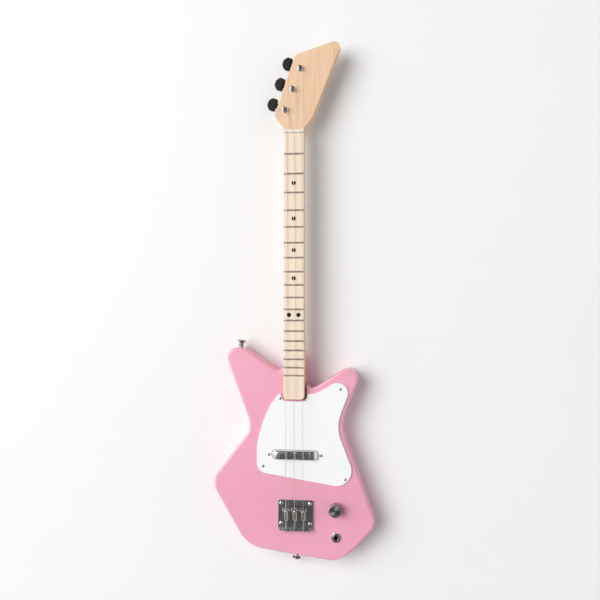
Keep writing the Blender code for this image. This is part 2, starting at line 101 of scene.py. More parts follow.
NECK_PLATE = (-12.2, 13.6, 155.0, 203.0)        # x and y of its sides
NECK_PLATE_R = 3.0
CONTROL_COVER = (37.4, 78.6, -55.6, 20.6)
CONTROL_COVER_R = 9.6
COVER_SCREW_X = (44.0, 72.0)
COVER_SCREW_Y = (-49.4, 14.4)
SEAT_GAP = 0.4                 # air round the plates that are let into the back

# Pickup
PICKUP = Vector((0.7, 72.8, 37.6))
PICKUP_LEN = 66.0
PICKUP_R = 6.95
PICKUP_TALL = 7.2
PICKUP_END_FALL = 9.5
PICKUP_POWER = 2 / 3.4
PICKUP_SCREW_DX = 36.8

# Bridge
BRIDGE_X = 1.7
BRIDGE_Y = (-31.5, 10.0)
BRIDGE_W = 49.8
BRIDGE_SCREW_DX = 20.2
BRIDGE_SCREW_Y = (5.2, -22.8)
BRIDGE_Z = BODY_T + FIT
BRIDGE_TOP = BRIDGE_Z + 2.0
WALL_TOP = 45.5
WALL_T = 1.6
SADDLE_W = 10.4
SADDLE_Y = (-18.8, 0.6)
SADDLE_T = 1.4
SADDLE_REAR_Z = 45.2
SADDLE_CREST_Y = -3.2
SADDLE_CREST_Z = 48.2
SLOT_HALF = 2.2
SCREW_Z = 40.6
SCREW_HEAD_R = 1.9
ANCHOR_Z = 44.2
STRING_START_Z = 43.6
STRING_CREST_Y = 2.5
STRING_BEND = Vector((-8.0, 49.0))   # y and z where each string turns over its saddle

# Controls
POT = (57.6, -1.2)
JACK = (57.9, -40.9)
FRONT_WALL = 30.0
KNOB_R = 9.1
KNOB_Z = (38.9, 50.2)

# Tuners
ALONG = Vector((1.0, 2.816)).normalized()
OUT = Vector((-ALONG.y, ALONG.x))
POSTS = [(8.5, 611.1), (-2.5, 582.7), (-13.2, 554.2)]
POST_R = 3.0
POST_TOP = 46.6
POST_WAIST_R = 2.5
POST_WAIST_Z = (40.0, 43.0)
WORM_Z = 15.0
WORM_OFFSET = 5.2
STRAP_Z = 18.0


# Geometry helpers

def round_corners(corners, step=FINE):
    """The outline's points, with each corner replaced by the arc that touches both its sides."""
    points = []
    count = len(corners)
    for i in range(count):
        corner = Vector(corners[i][:2])
        radius = corners[i][2]
        if radius == 0:
            points.append(corner)
            continue
        back = (Vector(corners[i - 1][:2]) - corner).normalized()
        ahead = (Vector(corners[(i + 1) % count][:2]) - corner).normalized()
        half = back.angle(ahead) / 2
        centre = corner + (back + ahead).normalized() * (radius / math.sin(half))
        first = corner + back * (radius / math.tan(half)) - centre
        last = corner + ahead * (radius / math.tan(half)) - centre
        turn = math.atan2(first.x * last.y - first.y * last.x, first.dot(last))
        steps = max(1, math.ceil(abs(turn) / step))
        for k in range(steps + 1):
            points.append(centre + Matrix.Rotation(turn * k / steps, 2) @ first)
    return points


def rectangle(x0, x1, y0, y1, radius=0.0):
    return [(x0, y0, radius), (x1, y0, radius), (x1, y1, radius), (x0, y1, radius)]


def wider(sides, gap):
    """The sides (x0, x1, y0, y1) of a rectangle, moved outward."""
    x0, x1, y0, y1 = sides
    return x0 - gap, x1 + gap, y0 - gap, y1 + gap


def inset(points, distance):
    """The closed outline moved inward by a distance, each point along its mitre."""
    area = sum(a.cross(b) for a, b in zip(points, points[1:] + points[:1]))
    side = 1.0 if area > 0 else -1.0
    moved = []
    for i, point in enumerate(points):
        before = (point - points[i - 1]).normalized()
        after = (points[(i + 1) % len(points)] - point).normalized()
        normal_before = Vector((-before.y, before.x)) * side
        normal_after = Vector((-after.y, after.x)) * side
        mitre = (normal_before + normal_after) / (1 + normal_before.dot(normal_after))
        moved.append(point + mitre * distance)
    return moved


def matrix_of(origin=(0, 0, 0), axis=(0, 0, 1), turn=0.0):
    """A placement in mm whose local Z points along an axis."""
    lean = Vector((0, 0, 1)).rotation_difference(Vector(axis)).to_matrix().to_4x4()
    return Matrix.Translation(Vector(origin)) @ lean @ Matrix.Rotation(turn, 4, "Z")


def in_metres(placement):
    """The same placement with its position in metres, and no scale."""
    return Matrix.Translation(placement.translation * MM) @ placement.to_3x3().to_4x4()


def columns(x_axis, y_axis, origin=(0, 0, 0)):
    """A placement in mm with the given local X and Y directions."""
    x_axis = Vector(x_axis)
    y_axis = Vector(y_axis)
    turn = Matrix((x_axis, y_axis, x_axis.cross(y_axis))).transposed().to_4x4()
    return Matrix.Translation(Vector(origin)) @ turn


ACROSS = columns((0, 1, 0), (0, 0, 1))    # local X along the guitar, local Y up, local Z to the treble side
UPRIGHT = columns((1, 0, 0), (0, 0, 1))   # local X across the guitar, local Y up, local Z away from the head


def mesh_object(name, work, placement=None, baked=True):
    """An object from a bmesh in mm, in metres, with its placement in the mesh or in the object."""
    bmesh.ops.recalc_face_normals(work, faces=work.faces)
    placement = placement or Matrix.Identity(4)
    scale = Matrix.Scale(MM, 4)
    mesh = bpy.data.meshes.new(name)
    if baked:
        work.transform(scale @ placement)
    else:
        work.transform(scale)
    work.to_mesh(mesh)
    work.free()
    item = bpy.data.objects.new(name, mesh)
    bpy.context.scene.collection.objects.link(item)
    if not baked:
        item.matrix_world = in_metres(placement)
    return item


def skin_rings(work, rings, closed_ends=True):
    """Faces between successive rings of the same length, with flat ends."""
    for low, high in zip(rings, rings[1:]):
        count = len(low)
        for i in range(count):
            j = (i + 1) % count
            work.faces.new((low[i], low[j], high[j], high[i]))
    if closed_ends:
        work.faces.new(reversed(rings[0]))
        work.faces.new(rings[-1])


def slab(name, corners, low, high, edge=0.0, placement=None, step=FINE, rounds=4):
    """A flat outline with thickness, its two rims rounded to `edge`."""
    outline = round_corners(corners, step)
    levels = [(0.0, low), (0.0, high)]
    if edge:
        turns = [k * math.pi / 2 / rounds for k in range(rounds + 1)]
        lower = [(edge * (1 - math.sin(a)), low + edge * (1 - math.cos(a))) for a in turns]
        upper = [(edge * (1 - math.sin(a)), high - edge * (1 - math.cos(a))) for a in reversed(turns)]
        levels = lower + upper
    work = bmesh.new()
    rings = [[work.verts.new((p.x, p.y, z)) for p in inset(outline, inward)] for inward, z in levels]
    skin_rings(work, rings)
    return mesh_object(name, work, placement)


def block(name, x, y, z, edge=0.0, placement=None):
    return slab(name, rectangle(*x, *y, edge), *z, edge, placement, math.radians(30), 3)


def lathe(name, profile, origin=(0, 0, 0), axis=(0, 0, 1), segments=64, baked=False):
    """A turned piece. The profile is (radius, height, fillet) from one end of its axis to the other."""
    spots = round_corners([(r, h, f) for r, h, f in profile], math.radians(18))
    work = bmesh.new()
    rings = []
    for spot in spots:
        radius = max(spot.x, 0.0)
        if radius < 1e-6:
            rings.append([work.verts.new((0, 0, spot.y))])
            continue
        angles = [2 * math.pi * k / segments for k in range(segments)]
        rings.append([work.verts.new((radius * math.cos(a), radius * math.sin(a), spot.y)) for a in angles])
    for low, high in zip(rings, rings[1:]):
        for i in range(segments):
            j = (i + 1) % segments
            if len(low) == 1:
                work.faces.new((low[0], high[j], high[i]))
            elif len(high) == 1:
                work.faces.new((low[i], low[j], high[0]))
            else:
                work.faces.new((low[i], low[j], high[j], high[i]))
    if len(rings[0]) > 1:
        first, last = rings[0], rings[-1]
        for i in range(segments):
            j = (i + 1) % segments
            work.faces.new((last[i], last[j], first[j], first[i]))
    return mesh_object(name, work, matrix_of(origin, axis), baked)


def cylinder(name, radius, low, high, origin=(0, 0, 0), axis=(0, 0, 1), segments=48):
    return lathe(name, [(0, high, 0), (radius, high, 0), (radius, low, 0), (0, low, 0)], origin, axis,
                 segments, True)


def swept(name, points, radius, sides=16, cyclic=False):
    """A round wire along a path of points in mm."""
    curve = bpy.data.curves.new(name + "_path", "CURVE")
    curve.dimensions = "3D"
    curve.fill_mode = "FULL"
    curve.bevel_depth = radius * MM
    curve.bevel_resolution = max(0, sides // 4 - 1)
    curve.use_fill_caps = True
    spline = curve.splines.new("POLY")
    spline.points.add(len(points) - 1)
    for point, spot in zip(spline.points, points):
        point.co = (spot[0] * MM, spot[1] * MM, spot[2] * MM, 1)
    spline.use_cyclic_u = cyclic
    path = bpy.data.objects.new(name + "_path", curve)
    bpy.context.scene.collection.objects.link(path)
    bpy.context.view_layer.update()
    mesh = bpy.data.meshes.new_from_object(path.evaluated_get(bpy.context.evaluated_depsgraph_get()))
    work = bmesh.new()
    work.from_mesh(mesh)
    bmesh.ops.remove_doubles(work, verts=work.verts, dist=1e-7)
    bmesh.ops.recalc_face_normals(work, faces=work.faces)
    work.to_mesh(mesh)
    work.free()
    bpy.data.objects.remove(path, do_unlink=True)
    mesh.name = name
    item = bpy.data.objects.new(name, mesh)
    bpy.context.scene.collection.objects.link(item)
    return item


def carve(item, tools, operation="DIFFERENCE"):
    """Cut or join the tools, and keep only the result."""
    for tool in tools:
        step = item.modifiers.new(tool.name, "BOOLEAN")
        step.operation = operation
        step.solver = "EXACT"
        step.object = tool
    bpy.context.view_layer.update()
    done = bpy.data.meshes.new_from_object(item.evaluated_get(bpy.context.evaluated_depsgraph_get()))
    item.modifiers.clear()
    item.data = done
    done.name = item.name
    for tool in tools:
        bpy.data.objects.remove(tool, do_unlink=True)
    return item


def smooth(item, angle=32):
    """Smooth shading with sharp edges, and flat faces that stay flat beside their rounded rims."""
    item.data.shade_smooth()
    item.data.set_sharp_from_angle(angle=math.radians(angle))
    even = item.modifiers.new("even_normals", "WEIGHTED_NORMAL")
    even.keep_sharp = True
    return item


def dress(item, look, body="guitar", stands_for=(), angle=32):
    """Material, shading, the body that carries the piece, and the CAD nodes that it replaces."""
    item.data.materials.clear()
    item.data.materials.append(looks[look])
    smooth(item, angle)
    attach(item, body)
    if stands_for:
        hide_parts(*stands_for)
    return item


# Material helpers

class Paint:
    """One procedural material, with short calls for the nodes that the looks below share."""

    def __init__(self, name, colour, roughness, metallic=0.0, **sockets):
        self.material = bpy.data.materials.new(name)
        self.material.use_nodes = True
        self.tree = self.material.node_tree
        self.shader = self.tree.nodes["Principled BSDF"]
        self.set("Base Color", (*colour, 1.0))
        self.set("Roughness", roughness)
        self.set("Metallic", metallic)
        for socket, value in sockets.items():
            self.set(socket.replace("_", " "), value)
        self.coordinates = self.tree.nodes.new("ShaderNodeTexCoord").outputs["Object"]

    def set(self, socket, value):
        self.shader.inputs[socket].default_value = value

    def link(self, output, target):
        self.tree.links.new(output, target)

    def stretch(self, scale):
        """Object coordinates multiplied by a scale for each axis, in cycles per metre."""
        mapping = self.tree.nodes.new("ShaderNodeMapping")
        mapping.inputs["Scale"].default_value = scale
        self.link(self.coordinates, mapping.inputs["Vector"])
        return mapping.outputs["Vector"]

    def noise(self, scale, detail=4.0, rough=0.55, distortion=0.0):
        made = self.tree.nodes.new("ShaderNodeTexNoise")
        made.inputs["Scale"].default_value = 1.0
        made.inputs["Detail"].default_value = detail
        made.inputs["Roughness"].default_value = rough
        made.inputs["Distortion"].default_value = distortion
        size = scale if isinstance(scale, tuple) else (scale, scale, scale)
        self.link(self.stretch(size), made.inputs["Vector"])
        return made.outputs["Fac"]

    def ramp(self, factor, stops):
        made = self.tree.nodes.new("ShaderNodeValToRGB")
        while len(made.color_ramp.elements) < len(stops):
            made.color_ramp.elements.new(0.5)
        for element, (place, colour) in zip(made.color_ramp.elements, stops):
            element.position = place
            element.color = (*colour, 1.0)
        self.link(factor, made.inputs["Fac"])
        return made.outputs["Color"]

    def blend(self, factor, first, second, kind="MIX"):
        made = self.tree.nodes.new("ShaderNodeMix")
        made.data_type = "RGBA"
        made.blend_type = kind
        for value, socket in ((factor, 0), (first, 6), (second, 7)):
            if isinstance(value, bpy.types.NodeSocket):
                self.link(value, made.inputs[socket])
            elif socket == 0:
                made.inputs[0].default_value = value
            else:
                made.inputs[socket].default_value = (*value, 1.0)
        return made.outputs[2]

    def span(self, factor, low, high, start=0.3, end=0.7):
        made = self.tree.nodes.new("ShaderNodeMapRange")
        made.inputs["From Min"].default_value = start
        made.inputs["From Max"].default_value = end
        made.inputs["To Min"].default_value = low
        made.inputs["To Max"].default_value = high
        self.link(factor, made.inputs["Value"])
        return made.outputs["Result"]

    def colour(self, output):
        self.link(output, self.shader.inputs["Base Color"])

    def rough(self, output):
        self.link(output, self.shader.inputs["Roughness"])

    def bumps(self, heights):
        """Stacked bump nodes from (height, depth in mm)."""
        normal = None
        for height, depth in heights:
            made = self.tree.nodes.new("ShaderNodeBump")
            made.inputs["Strength"].default_value = 1.0
            made.inputs["Distance"].default_value = depth * MM
            self.link(height, made.inputs["Height"])
            if normal:
                self.link(normal, made.inputs["Normal"])
            normal = made.outputs["Normal"]
        self.link(normal, self.shader.inputs["Normal"])


def pink_lacquer():
    paint = Paint("pink_lacquer", (0.88, 0.40, 0.525), 0.32, Coat_Weight=0.38, Coat_Roughness=0.10,
                  Coat_IOR=1.5)
    drift = paint.noise(7.0, 3.0)
    fine = paint.noise(90.0, 4.0)
    base = paint.ramp(drift, [(0.30, (0.865, 0.38, 0.505)), (0.70, (0.895, 0.412, 0.535))])
    paint.colour(paint.blend(paint.span(fine, 0.0, 0.35), base, (0.845, 0.36, 0.485)))
    paint.rough(paint.span(paint.noise(35.0, 5.0), 0.27, 0.38))
    paint.bumps([(paint.noise(260.0, 2.0), 0.012), (paint.noise(1400.0, 3.0), 0.002)])
    return paint.material


def maple(name="maple", pale=(0.84, 0.58, 0.375), mid=(0.78, 0.505, 0.305), dark=(0.62, 0.35, 0.19)):
    paint = Paint(name, mid, 0.42, Coat_Weight=0.25, Coat_Roughness=0.22)
    broad = paint.noise((60.0, 4.0, 60.0), 5.0, 0.6, 0.6)
    streak = paint.noise((420.0, 9.0, 420.0), 4.0, 0.6)
    fleck = paint.noise((1500.0, 90.0, 1500.0), 3.0, 0.6)
    base = paint.ramp(broad, [(0.28, mid), (0.52, pale), (0.78, mid)])
    base = paint.blend(paint.span(streak, 0.0, 0.55, 0.42, 0.75), base, dark)
    base = paint.blend(paint.span(fleck, 0.0, 0.30, 0.55, 0.75), base, dark)
    paint.colour(base)
    paint.rough(paint.span(streak, 0.36, 0.50))
    paint.bumps([(streak, 0.02), (fleck, 0.012)])
    return paint.material


def maple_board():
    paint = Paint("maple_board", (0.90, 0.745, 0.585), 0.42, Coat_Weight=0.2, Coat_Roughness=0.25)
    broad = paint.noise((120.0, 5.0, 120.0), 4.0, 0.55, 0.4)
    stripes = paint.noise((620.0, 5.0, 620.0), 4.0, 0.65)
    pores = paint.noise((2200.0, 120.0, 2200.0), 2.0, 0.6)
    base = paint.ramp(broad, [(0.30, (0.875, 0.70, 0.53)), (0.70, (0.925, 0.785, 0.635))])
    base = paint.blend(paint.span(stripes, 0.0, 0.20, 0.45, 0.75), base, (0.80, 0.58, 0.40))
    base = paint.blend(paint.span(pores, 0.0, 0.16, 0.58, 0.78), base, (0.70, 0.48, 0.31))
    paint.colour(base)
    paint.rough(paint.span(stripes, 0.36, 0.50))
    paint.bumps([(stripes, 0.012), (pores, 0.01)])
    return paint.material


def plastic(name, colour, second, roughness, grain_mm=0.004, coat=0.0, specular=0.5):
    paint = Paint(name, colour, roughness, Coat_Weight=coat, Coat_Roughness=0.1,
                  Specular_IOR_Level=specular)
    paint.colour(paint.blend(paint.span(paint.noise(22.0, 4.0), 0.0, 1.0), colour, second))
    paint.rough(paint.span(paint.noise(70.0, 5.0), roughness * 0.94, roughness * 1.08))
    paint.bumps([(paint.noise(900.0, 3.0), grain_mm)])
    return paint.material


def plated(name, colour, second, roughness, smudge=0.12, grain=(600.0, 600.0, 600.0), depth=0.0015):
    """Plated or bare metal with a slightly cloudy polish and fine polishing marks."""
    paint = Paint(name, colour, roughness, 1.0)
    cloud = paint.noise(55.0, 5.0, 0.6)
    marks = paint.noise(grain, 3.0, 0.6)
    paint.colour(paint.blend(paint.span(cloud, 0.0, 1.0), colour, second))
    paint.rough(paint.span(paint.noise(120.0, 6.0, 0.65), roughness, roughness + smudge))
    paint.bumps([(marks, depth)])
    return paint.material


def spun_chrome():
    """Plating over a face turned on a lathe: the marks run round the axis and stretch the highlights. Its
    dark base colour is painted shade, standing in for the dim room that the polished top reflects.
    """
    paint = Paint("spun_chrome", (0.32, 0.30, 0.31), 0.28, 1.0, Anisotropic=0.9)
    tangent = paint.tree.nodes.new("ShaderNodeTangent")
    tangent.direction_type = "RADIAL"
    tangent.axis = "Z"
    paint.link(tangent.outputs["Tangent"], paint.shader.inputs["Tangent"])
    cloud = paint.noise(80.0, 5.0, 0.6)
    paint.colour(paint.blend(paint.span(cloud, 0.0, 1.0), (0.36, 0.34, 0.35), (0.26, 0.24, 0.25)))
    paint.rough(paint.span(paint.noise(160.0, 5.0), 0.24, 0.32))
    paint.bumps([(paint.noise((900.0, 900.0, 900.0), 3.0, 0.6), 0.0012)])
    return paint.material


looks = {
    "pink_lacquer": pink_lacquer(),
    "maple": maple(),
    "maple_board": maple_board(),
    "nut_plastic": plastic("nut_plastic", (0.88, 0.85, 0.79), (0.83, 0.80, 0.73), 0.42),
    "white_plastic": plastic("white_plastic", (0.965, 0.967, 0.975), (0.958, 0.960, 0.969), 0.24, 0.003,
                             0.2),
    "chrome": plated("chrome", (0.80, 0.80, 0.82), (0.72, 0.72, 0.75), 0.07),
    "dark_chrome": plated("dark_chrome", (0.68, 0.68, 0.71), (0.55, 0.55, 0.58), 0.10),
    "saddle_steel": plated("saddle_steel", (0.62, 0.60, 0.58), (0.48, 0.46, 0.44), 0.07, 0.08,
                           (1500.0, 120.0, 1500.0), 0.0015),
    "steel": plated("steel", (0.52, 0.50, 0.47), (0.38, 0.35, 0.31), 0.26, 0.16),
    "fret_wire": plated("fret_wire", (0.44, 0.41, 0.37), (0.36, 0.33, 0.29), 0.36, 0.12,
                        (200.0, 2500.0, 2500.0), 0.003),
    "string_wire": plated("string_wire", (0.64, 0.59, 0.55), (0.54, 0.49, 0.45), 0.34, 0.15,
                          (2500.0, 2500.0, 2500.0), 0.004),
    "black_plastic": plastic("black_plastic", (0.008, 0.008, 0.010), (0.012, 0.012, 0.014), 0.5, 0.004,
                             specular=0.22),
}

# Painted shade: darker chrome on the posts and strap buttons, for their dark reflections. Painted highlight:
# a brighter metal on the saddle slots' lips. Both stand in the record's chrome slot
shaded_chrome = plated("shaded_chrome", (0.38, 0.34, 0.35), (0.28, 0.24, 0.26), 0.12)
saddle_lip_highlight = plated("saddle_lip_highlight", (0.95, 0.92, 0.87), (0.88, 0.84, 0.78), 0.28)


# Screws, springs and other small hardware

screw_meshes = {}


def screw_mesh(head_r, dome, shank_r, length, countersunk=False):
    """A Phillips screw: local Z points out of the hole and z = 0 is the surface it sits on."""
    key = (head_r, dome, shank_r, length, countersunk)
    if key in screw_meshes:
        return screw_meshes[key]
    under = [(head_r, 0.0, dome * 0.2), (shank_r, 0.0, 0.05)]
    if countersunk:
        under = [(head_r, 0.0, dome * 0.2), (shank_r, -0.8 * (head_r - shank_r), 0.1)]
    crown = [(head_r * math.sin(a), dome * (0.25 + 0.75 * math.cos(a)), 0.0)
             for a in (0.0, 0.35, 0.7, 1.05, 1.35, math.pi / 2)]
    profile = crown + under + [(shank_r, -length, 0.2), (0, -length, 0)]
    item = lathe("screw", profile, segments=32, baked=True)
    wide = head_r * 0.58
    thin = head_r * 0.13
    floor = -head_r * 0.28
    cross = [block("cut", (-wide, wide), (-thin, thin), (floor, dome + 1)),
             block("cut", (-thin, thin), (-wide, wide), (floor, dome + 1))]
    carve(item, cross)
    smooth(item)
    screw_meshes[key] = item.data
    bpy.data.objects.remove(item, do_unlink=True)
    return screw_meshes[key]


def screw(name, spot, axis, size, look="steel", body="guitar", turn=0.0, stands_for=()):
    """size is (head radius, dome height, shank radius, length, countersunk)."""
    mesh = screw_mesh(*size)
    item = bpy.data.objects.new(name, mesh.copy())
    bpy.context.scene.collection.objects.link(item)
    item.matrix_world = in_metres(matrix_of(spot, axis, turn))
    return dress(item, look, body, stands_for)


def helix(radius, low, high, turns, per_turn=20, start=0.0):
    """Points of a helix about local Z."""
    count = int(turns * per_turn)
    return [Vector((radius * math.cos(start + 2 * math.pi * k / per_turn),
                    radius * math.sin(start + 2 * math.pi * k / per_turn),
                    low + (high - low) * k / count)) for k in range(count + 1)]


def coil_spring(name, spot, axis, radius, wire_r, length, turns, look="steel", body="guitar"):
    placement = matrix_of(spot, axis)
    points = [placement @ p for p in helix(radius, 0.0, length, turns)]
    return dress(swept(name, points, wire_r, 8), look, body)


# The guitar's pieces

def eased(points, reach, steps=5):
    """The points of a path with each inner corner eased by a short parabola."""
    result = [points[0]]
    for before, here, after in zip(points, points[1:], points[2:]):
        enter = here + (before - here).normalized() * min(reach, (before - here).length * 0.45)
        leave = here + (after - here).normalized() * min(reach, (after - here).length * 0.45)
        for k in range(steps + 1):
            t = k / steps
            result.append(enter.lerp(here, t).lerp(here.lerp(leave, t), t))
    return result + [points[-1]]


def fret_y(n):
    return SCALE * 2 ** (-n / 12)


def half_width(y):
    return NECK_HALF_END + (NECK_HALF_NUT - NECK_HALF_END) * (y - NECK_END) / (SCALE - NECK_END)


def make_body():
    body = slab("body_wood", BODY_OUTLINE, 0, BODY_T, BODY_EDGE_R, rounds=6)
    tools = [
        slab("cut_pocket", rectangle(*POCKET_X, POCKET_END, 230, 6), 20.0, 50),
        slab("cut_pickup", rectangle(PICKUP.x - 41, PICKUP.x + 41, PICKUP.y - 10, PICKUP.y + 10, 6), 19, 50),
        slab("cut_controls", rectangle(42, 74, -51, 16, 8), -5, FRONT_WALL),
        slab("cut_cover", rectangle(*wider(CONTROL_COVER, SEAT_GAP), CONTROL_COVER_R + SEAT_GAP), -5, 2.6),
        block("cut_lead", (30, 48), (8, 66), (21, 27)),
        cylinder("cut_pot_hole", 3.9, 25, 45, (*POT, 0)),
        cylinder("cut_jack_hole", 5.0, 25, 45, (*JACK, 0)),
        slab("cut_plate_seat", rectangle(*wider(NECK_PLATE, SEAT_GAP), NECK_PLATE_R + 0.5), -5, 1.7),
    ]
    tools += [cylinder("cut_neck_screw", 2.4, -5, 30, (x, y, 0)) for x, y in NECK_SCREWS]
    carve(body, tools)
    dress(body, "pink_lacquer", stands_for=("body",), angle=40)


def shaft_section(half, top, bottom, count=14):
    """A D section: flat on top, short upright sides and a rounded back."""
    side = top - 6.5
    points = [Vector((half, top)), Vector((half, side))]
    for k in range(1, count):
        a = math.pi * k / count
        depth = (side - bottom) * math.sin(a) ** 0.8
        points.append(Vector((half * math.copysign(abs(math.cos(a)) ** 0.75, math.cos(a)), side - depth)))
    return points + [Vector((-half, side)), Vector((-half, top))]


def neck_back(y):
    """Height of the neck's back, which sweeps up into the headstock beyond the first fret."""
    return NECK_TOP - 20.3 + 7.0 * (max(y - 490.0, 0.0) / 60.0) ** 1.6


def loft_along_y(name, sections):
    work = bmesh.new()
    rings = [[work.verts.new((p.x, y, p.y)) for p in outline] for y, outline in sections]
    skin_rings(work, rings)
    return mesh_object(name, work)


def make_neck():
    """Heel block, D-section shaft, a swept volute and the headstock slab, as one piece of wood."""
    heel = [(-NECK_HALF_END, NECK_END, 5), (-NECK_HALF_END, 218, 2), (NECK_HALF_END, 218, 2),
            (NECK_HALF_END, NECK_END, 5)]
    neck = slab("neck_wood", heel, HEEL_Z, NECK_TOP, 0.4)
    stations = [208, 224, 260, 330, 400, 460, 490, 496, 502, 508, 514, 519, 524.6]
    shaft = loft_along_y("neck_shaft", [
        (y, shaft_section(half_width(y) + 0.02, NECK_TOP, neck_back(y))) for y in stations])
    volute = loft_along_y("neck_volute", [
        (y, shaft_section(13.95, 37.6, neck_back(y) + 0.02)) for y in range(518, 553, 3)])
    head = slab("neck_head", HEAD_OUTLINE, *HEAD_Z, 0.9)
    carve(neck, [shaft, volute, head], "UNION")
    tools = [block("cut_rod_slot", (-3.3, 3.3), (140, 512), (NECK_TOP - 8.6, NECK_TOP + 3))]
    tools += [cylinder("cut_heel_screw", 2.3, 10, 30.8, (x, y, 0)) for x, y in NECK_SCREWS]
    tools += [cylinder("cut_post", POST_R + 0.5, 15, 50, (*spot, 0)) for spot in POSTS]
    carve(neck, tools)
    dress(neck, "maple", stands_for=("neck",), angle=35)


def make_fretboard():
    start = SCALE - 0.06
    end = half_width(NECK_END)
    outline = [(-end, NECK_END, 5), (-half_width(start), start, 0), (half_width(start), start, 0),
               (end, NECK_END, 5)]
    board = slab("fretboard_wood", outline, NECK_TOP + FIT, BOARD_TOP, 0.5)
    dots = []
    for fret, places in DOT_FRETS:
        middle = (fret_y(fret) + fret_y(fret - 1)) / 2
        dots += [(x, middle) for x in places]
    carve(board, [cylinder("cut_dot", DOT_R + 0.04, BOARD_TOP - 1.4, 60, (x, y, 0)) for x, y in dots])
    dress(board, "maple_board", stands_for=("fretboard",))
    for k, (x, y) in enumerate(dots):
        dot = lathe(f"marker_dot_{k + 1}", [(0, BOARD_TOP + 0.03, 0), (DOT_R, BOARD_TOP + 0.03, 0.12),
                                            (DOT_R, BOARD_TOP - 1.3, 0), (0, BOARD_TOP - 1.3, 0)],
                    (x, y, 0), segments=40)
        dress(dot, "black_plastic")


def make_frets():
    """Rounded crowns across the board, with bevelled ends."""
    for n in range(1, FRETS + 1):
        y = fret_y(n)
        reach = half_width(y) - 0.3
        arc = [Vector((1.15 * math.cos(a), (FRET_TOP - BOARD_TOP) * math.sin(a)))
               for a in [math.pi * k / 10 for k in range(11)]]
        work = bmesh.new()
        rings = []
        for x, share in ((-reach, 0.55), (-reach + 0.5, 0.92), (-reach + 0.9, 1.0), (reach - 0.9, 1.0),
                         (reach - 0.5, 0.92), (reach, 0.55)):
            rings.append([work.verts.new((x, y + p.x, BOARD_TOP + p.y * share)) for p in arc])
        skin_rings(work, rings)
        fret = mesh_object(f"fret_wire_{n:02d}", work)
        dress(fret, "fret_wire", stands_for=(f"fret_{n:02d}",), angle=60)


def make_nut():
    half = NECK_HALF_NUT - 0.2
    side = [(SCALE, NECK_TOP + FIT, 0), (SCALE, NUT_TOP, 1.6), (SCALE + 4.2, NUT_TOP - 0.5, 1.2),
            (SCALE + 4.2, NECK_TOP + FIT, 0)]
    nut = slab("nut_block", side, -half, half, 0.35, ACROSS, math.radians(15))
    tools = []
    for x, radius in zip(NUT_X, STRING_RADII):
        low = STRING_Z_NUT - radius - 0.05
        wide = radius + 0.12
        slot = [(x - wide, low, wide * 0.9), (x + wide, low, wide * 0.9), (x + wide, NUT_TOP + 3, 0),
                (x - wide, NUT_TOP + 3, 0)]
        tools.append(slab("cut_nut_slot", slot, -SCALE - 8, -SCALE + 3, 0, UPRIGHT, math.radians(15)))
    carve(nut, tools)
    dress(nut, "nut_plastic", stands_for=("nut",))


def make_pickguard():
    guard = slab("pickguard_sheet", GUARD_OUTLINE, GUARD_Z, GUARD_TOP, 0.35, rounds=3)
    reach = PICKUP_LEN / 2 + 0.5
    slot_r = PICKUP_R + 0.35
    slot = rectangle(PICKUP.x - reach, PICKUP.x + reach, PICKUP.y - slot_r, PICKUP.y + slot_r,
                     slot_r - 0.05)
    tools = [slab("cut_guard_slot", slot, 30, 45)]
    tools += [cylinder("cut_guard_screw", 1.7, 30, 45, (PICKUP.x + s * PICKUP_SCREW_DX, PICKUP.y, 0))
              for s in (-1, 1)]
    tools += [cylinder("cut_sheet_screw", 1.3, 30, 45, (x, y, 0)) for x, y in GUARD_SCREWS]
    carve(guard, tools)
    dress(guard, "white_plastic", stands_for=("pickguard",))
    for k, (x, y) in enumerate(GUARD_SCREWS):
        screw(f"pickguard_screw_{k + 1}", (x, y, GUARD_TOP), (0, 0, 1), (1.95, 0.7, 1.1, 2.2), turn=0.5 + k)


def tube_ring(work, x, inset_by=0.0, count=72):
    """The pickup tube's section at x: a rounded rectangle that shrinks toward the tube's round ends."""
    half = PICKUP_LEN / 2
    past_side = max(0.0, abs(x) - (half - PICKUP_R)) / PICKUP_R
    past_top = max(0.0, abs(x) - (half - PICKUP_END_FALL)) / PICKUP_END_FALL
    across = PICKUP_R * math.sqrt(max(0.0, 1 - past_side ** 2)) - inset_by
    tall = PICKUP_TALL * math.sqrt(max(0.0, 1 - past_top ** 2.2)) - inset_by
    ring = []
    for k in range(count):
        a = 2 * math.pi * k / count
        y = math.copysign(abs(math.cos(a)) ** PICKUP_POWER, math.cos(a)) * across
        z = math.copysign(abs(math.sin(a)) ** PICKUP_POWER, math.sin(a)) * tall
        ring.append(work.verts.new((x, y, z)))
    return ring


